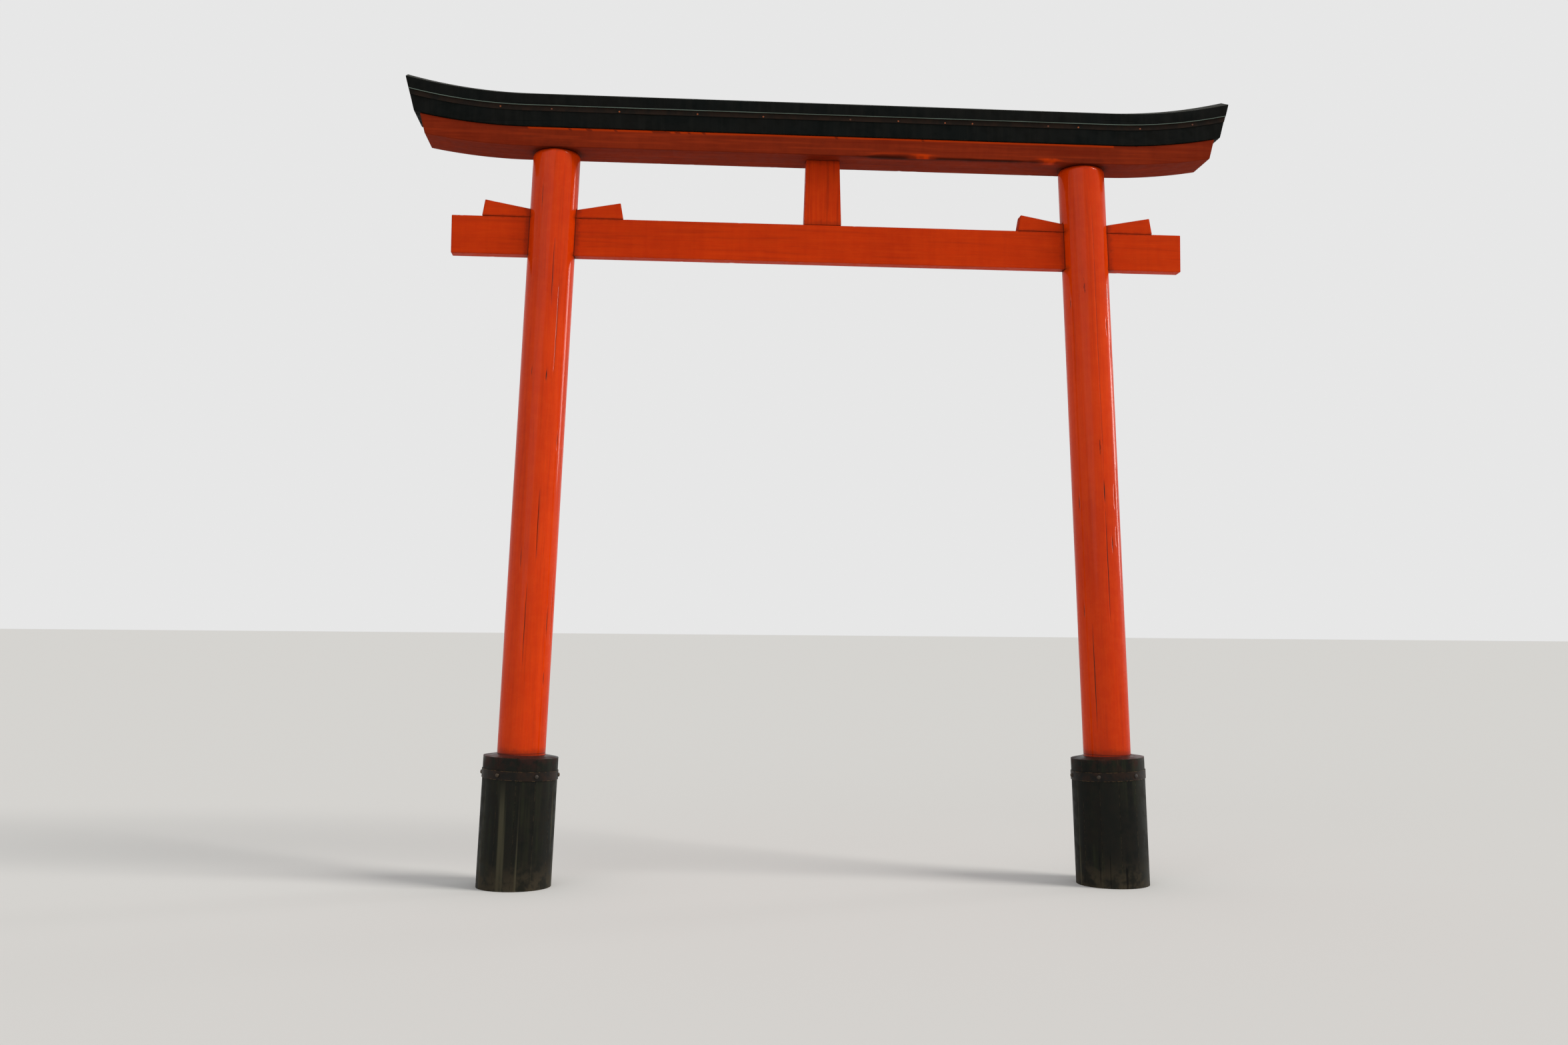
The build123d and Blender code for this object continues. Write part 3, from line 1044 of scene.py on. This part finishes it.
def plan_cracks(side_name):
    """Cracks by lane: the lane's angle round the log, and for each crack its ends, half width and depth."""
    draw = random.Random(side_name)
    lanes = {}
    for angle, *crack in SEEN_CRACKS[side_name]:
        lanes.setdefault(radians(angle), []).append(crack)
    while len(lanes) < LANES + len(SEEN_CRACKS[side_name]) // 2:
        angle = radians(draw.uniform(-180, 180))
        if min(abs(remainder(angle - other, tau)) for other in lanes) < LANES_APART:
            continue
        lane, base = [], draw.uniform(0.7, 1.6)
        for _ in range(CRACKS_A_LANE):
            length = draw.choice(CRACK_LENGTHS)
            lane.append((base, base + length, draw.uniform(0.0012, 0.0026), draw.uniform(0.003, 0.005)))
            base += length + draw.uniform(0.02, 0.9)
        lanes[angle] = [crack for crack in lane if crack[1] < CRACKED_TO]
    return sorted(lanes.items())


# %% Helpers: the surface of a log
LOG_COLUMNS = 112
LOG_ROW = 0.012
LOG_INSET = 0.0006
LOG_WAVE = 0.0009
LOG_FOOT = -0.02
HEAD_ROUND = 0.024
HEAD_STEPS = 12
WANDER = 0.0035
LIP = 0.0004


def opening(low, high, height):
    """How open a crack is at a height, from 0 at its ends to 1."""
    share = (height - low) / (high - low)
    return sin(pi * share) ** 0.7 if 0 < share < 1 else 0.0


def log_columns(lanes):
    """Angles of the columns of points round a log, each with its cracks and its side of them."""
    spare = 0.75 * tau / LOG_COLUMNS
    even = [-pi + tau * k / LOG_COLUMNS for k in range(LOG_COLUMNS)]
    columns = [(angle, None, 0) for angle in even
               if all(abs(remainder(angle - lane, tau)) > spare for lane, _ in lanes)]
    for lane, cracks in lanes:
        columns += [(lane, cracks, side) for side in (-1, 0, 1)]
    return sorted(columns, key=lambda c: (c[0], c[2]))


def log_rows():
    """Heights of the rings of a log, each with how far in it is pulled at the rounded head."""
    base = lintel_underside - FIT_GAP - LOG_INSET - HEAD_ROUND
    rows = [(LOG_FOOT + LOG_ROW * k, 0.0) for k in range(int((base - LOG_FOOT) / LOG_ROW))]
    bends = [pi / 2 * step / HEAD_STEPS for step in range(HEAD_STEPS + 1)]
    return rows + [(base + HEAD_ROUND * sin(b), HEAD_ROUND * (1 - cos(b))) for b in bends]


def log_point(side, height, angle, radius, seed):
    """A point of the log's skin, with the slow waves of a trunk."""
    wave = ripple(cos(angle) * 0.9, sin(angle) * 0.9 + seed, height * 1.3)
    radius -= LOG_INSET + LOG_WAVE * (0.5 + 0.5 * wave)
    x = side * axis_x(height) + radius * cos(angle) / cos(lean)
    return Vector((x, radius * sin(angle), height))


# %% Build the logs
def log_ring(columns, side, height, inset, seed):
    """One ring of points round a log, drawn in where a crack is open."""
    wander = WANDER * ripple(seed, 0.3, height * 1.7) / post_radius
    ring = []
    for angle, cracks, role in columns:
        wide = deep = 0.0
        for low, high, half, depth in cracks or ():
            wide = max(wide, half * opening(low, high, height))
            deep = max(deep, depth * opening(low, high, height))
        turn = angle + wander + role * max(wide, LIP) / post_radius
        radius = post_radius - inset - (deep if role == 0 else 0.0)
        ring.append(log_point(side, height, turn, radius, seed))
    return ring


def cut_slot(piece, node):
    """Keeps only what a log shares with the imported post, slot and all."""
    cut = piece.modifiers.new("slot", "BOOLEAN")
    cut.operation = "INTERSECT"
    cut.solver = "EXACT"
    cut.object = nodes[node]
    view = bpy.context.evaluated_depsgraph_get()
    cut_mesh = bpy.data.meshes.new_from_object(piece.evaluated_get(view))
    piece.modifiers.clear()
    piece.data = cut_mesh
    cut_mesh.name = piece.name
    print(piece.name, len(cut_mesh.polygons), "faces with its slot")


def mark_depth(piece, side):
    """Writes how deep below the log's surface each point lies, for the paint to read."""
    depth = piece.data.attributes.new("depth", "FLOAT", "POINT")
    for vertex, mark in zip(piece.data.vertices, depth.data):
        x, y, z = vertex.co
        radius = hypot((x - side * axis_x(z)) * cos(lean), y)
        if z < lintel_underside - 1.2 * HEAD_ROUND:
            mark.value = max(0.0, post_radius - LOG_INSET - LOG_WAVE - radius)


def build_log(side_name, side):
    """One post as a log with cracks, and with its slot."""
    node = side_name + "_post"
    seed = 3.0 + 5.0 * side
    columns = log_columns(plan_cracks(side_name))
    rings = [log_ring(columns, side, height, inset, seed) for height, inset in log_rows()]
    piece = finish_timber(node, skin(rings))
    cut_slot(piece, node)
    mark_depth(piece, side)
    shade(piece.data)


for side_name, side in SIDES.items():
    build_log(side_name, side)

# %% [markdown]
# ## Round heads
# Nails and bolts differ only in size, so one function lathes a domed head. A flat disc would catch no
# light, and a full dome would look like a bead, so the head is a shallow cap over a short upright rim.

# %% Helper: domed heads
HEAD_SIDES = 20
DOME_RINGS = 4
RIM = 0.3
SUNK = 0.001


def add_head(mesh, place, outward, radius, height):
    """Adds one domed head to a bmesh, standing on a surface and pointing outward."""
    stand = Matrix.Translation(place) @ outward.to_track_quat("Z", "Y").to_matrix().to_4x4()
    rim = height * RIM
    levels = [(radius, -SUNK)]
    for bend in (pi / 2 * ring / DOME_RINGS for ring in range(DOME_RINGS)):
        levels.append((radius * cos(bend), rim + (height - rim) * sin(bend)))
    turns = [tau * k / HEAD_SIDES for k in range(HEAD_SIDES)]
    rings = [[stand @ Vector((wide * cos(a), wide * sin(a), z)) for a in turns]
             for wide, z in levels]
    last = join_rings(mesh, rings)[-1]
    top = mesh.verts.new(stand @ Vector((0, 0, height)))
    for k in range(HEAD_SIDES):
        mesh.faces.new((last[k], last[(k + 1) % HEAD_SIDES], top))


# %% [markdown]
# ## Nails in the flashing
# The sheet is nailed through its upright leg, by eye: some nails stand a hand apart and some nearly 40 cm.
# Five can be made out on the front, and the steps between the others are drawn from a seeded list. The
# sheet follows the sweep of the lintels, so the same formula places its nails.

# %% Nail the flashing
SHEET = 0.002
LEG = 0.024
SEEN_NAILS = (-0.276, 0.112, 0.328, 0.539, 0.663)
BACK_NAIL = 0.04
NAIL_STEPS = (0.12, 0.36)
NAIL_LEVELS = (0.4, 0.65)
NAIL_FREE = 0.07
NAIL_RADIUS = 0.0042
NAIL_HEIGHT = 0.0022


def nail_places(out):
    """Places along the sheet where it is nailed, on its front (-1) or its back (1)."""
    draw = random.Random(f"nails {out}")
    reach = sheet_high.x - NAIL_FREE
    places = list(SEEN_NAILS) if out < 0 else [BACK_NAIL]
    while places[-1] < reach:
        places.append(places[-1] + draw.uniform(*NAIL_STEPS))
    while places[0] > -reach:
        places.insert(0, places[0] - draw.uniform(*NAIL_STEPS))
    return places[1:-1]


def nail_row(name, out):
    """One nailed face of the flashing."""
    face = sheet_high.y + SHEET
    leg_top = level_height(name)
    mesh = bmesh.new()
    draw = random.Random(f"heights {out}")
    for along in nail_places(out):
        height = leg_top - SHEET - LEG * draw.uniform(*NAIL_LEVELS)
        add_head(mesh, swept(along, out * face, height), Vector((0, out, 0)), NAIL_RADIUS, NAIL_HEIGHT)
    finish_piece(name + "_nails", mesh, nail_copper)


nail_row("front_flashing", -1)
nail_row("back_flashing", 1)

# %% [markdown]
# ## Bolts on the hoops
# Each band is held to the staves by round-headed bolts, at even steps round the leaning post's own axis.
# None stands at the very front or back, where it would make the gate thicker than it is.

# %% Bolt the hoops
BOLT_COUNT = 6
BOLT_RADIUS = 0.009
BOLT_HEIGHT = 0.007


def bolt_hoop(side_name, side):
    """The bolts of one hoop."""
    low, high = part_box(side_name + "_hoop")
    level = Vector((cos(lean), 0, side * sin(lean)))
    mesh = bmesh.new()
    for k in range(BOLT_COUNT):
        turn = tau * k / BOLT_COUNT
        outward = level * cos(turn) + Vector((0, 1, 0)) * sin(turn)
        add_head(mesh, (low + high) / 2 + outward * high.y, outward, BOLT_RADIUS, BOLT_HEIGHT)
    finish_piece(side_name + "_hoop_bolts", mesh, bolt_steel)


for side_name, side in SIDES.items():
    bolt_hoop(side_name, side)

# %% [markdown]
# ## The studio
# The gate is shown on a plain pale floor under soft light, so that each colour looks about as it is
# written. The world gives more than half of the light, evenly, and lamps give it a side to come from: the
# strongest from the right, a weaker one from the front left, and a low one from the right and a little
# behind, which draws the sheen down the edge of each glossy post. They are suns with a large disc, because
# a sun lights a wide floor evenly and its shadow edges still stay soft. The camera, shiny paint and
# anything clear see the world as one pale colour that the floor fades into.

# %% Floor, light and world
FLOOR_COLOUR = (0.74, 0.735, 0.72, 1)
FLOOR_REACH = 400.0
WORLD_LIGHT = 0.48
WORLD_SEEN = 0.80

corners = [(x * FLOOR_REACH, y * FLOOR_REACH, 0) for x, y in ((-1, -1), (1, -1), (1, 1), (-1, 1))]
floor = bpy.data.meshes.new("floor")
floor.from_pydata(corners, [], [(0, 1, 2, 3)])
floor.materials.append(surface(new_material("floor_pale"), FLOOR_COLOUR, 1.0, specular=0.0))
new_object("floor", floor)

world = bpy.data.worlds.new("studio")
world.use_nodes = True
tree = world.node_tree
tree.nodes.clear()
camera_ray = put(tree, "LightPath", take="Is Camera Ray")
looked_at = calc("MAXIMUM", camera_ray, beside(camera_ray, "Is Glossy Ray"))
looked_at = calc("MAXIMUM", looked_at, beside(camera_ray, "Is Transmission Ray"))
sky = put(tree, "Background", (1.0, 1.0, 1.0, 1), ramp(looked_at, 0.0, 1.0, WORLD_LIGHT, WORLD_SEEN))
connect(tree, tree.nodes.new("ShaderNodeOutputWorld").inputs[0], sky)
bpy.context.scene.world = world


def make_sun(name, azimuth, elevation, disc, strength, light):
    """A soft distant lamp. Azimuth 0 shines from the front, and grows towards the right."""
    data = bpy.data.lights.new(name, "SUN")
    data.angle = radians(disc)
    data.energy = strength
    data.color = light
    lamp = new_object(name, data)
    level = cos(radians(elevation))
    turn = radians(azimuth)
    towards = Vector((level * sin(turn), -level * cos(turn), sin(radians(elevation))))
    lamp.rotation_euler = towards.to_track_quat("Z", "Y").to_euler()
    lamp.location = towards * 10


make_sun("key_lamp", 66, 40, 22, 1.75, (1.0, 0.97, 0.92))
make_sun("fill_lamp", -30, 25, 50, 0.35, (0.94, 0.97, 1.0))
make_sun("edge_lamp", 112, 9, 12, 0.4, (1.0, 0.98, 0.95))
bpy.context.scene.view_settings.view_transform = "Standard"
print("studio ready")
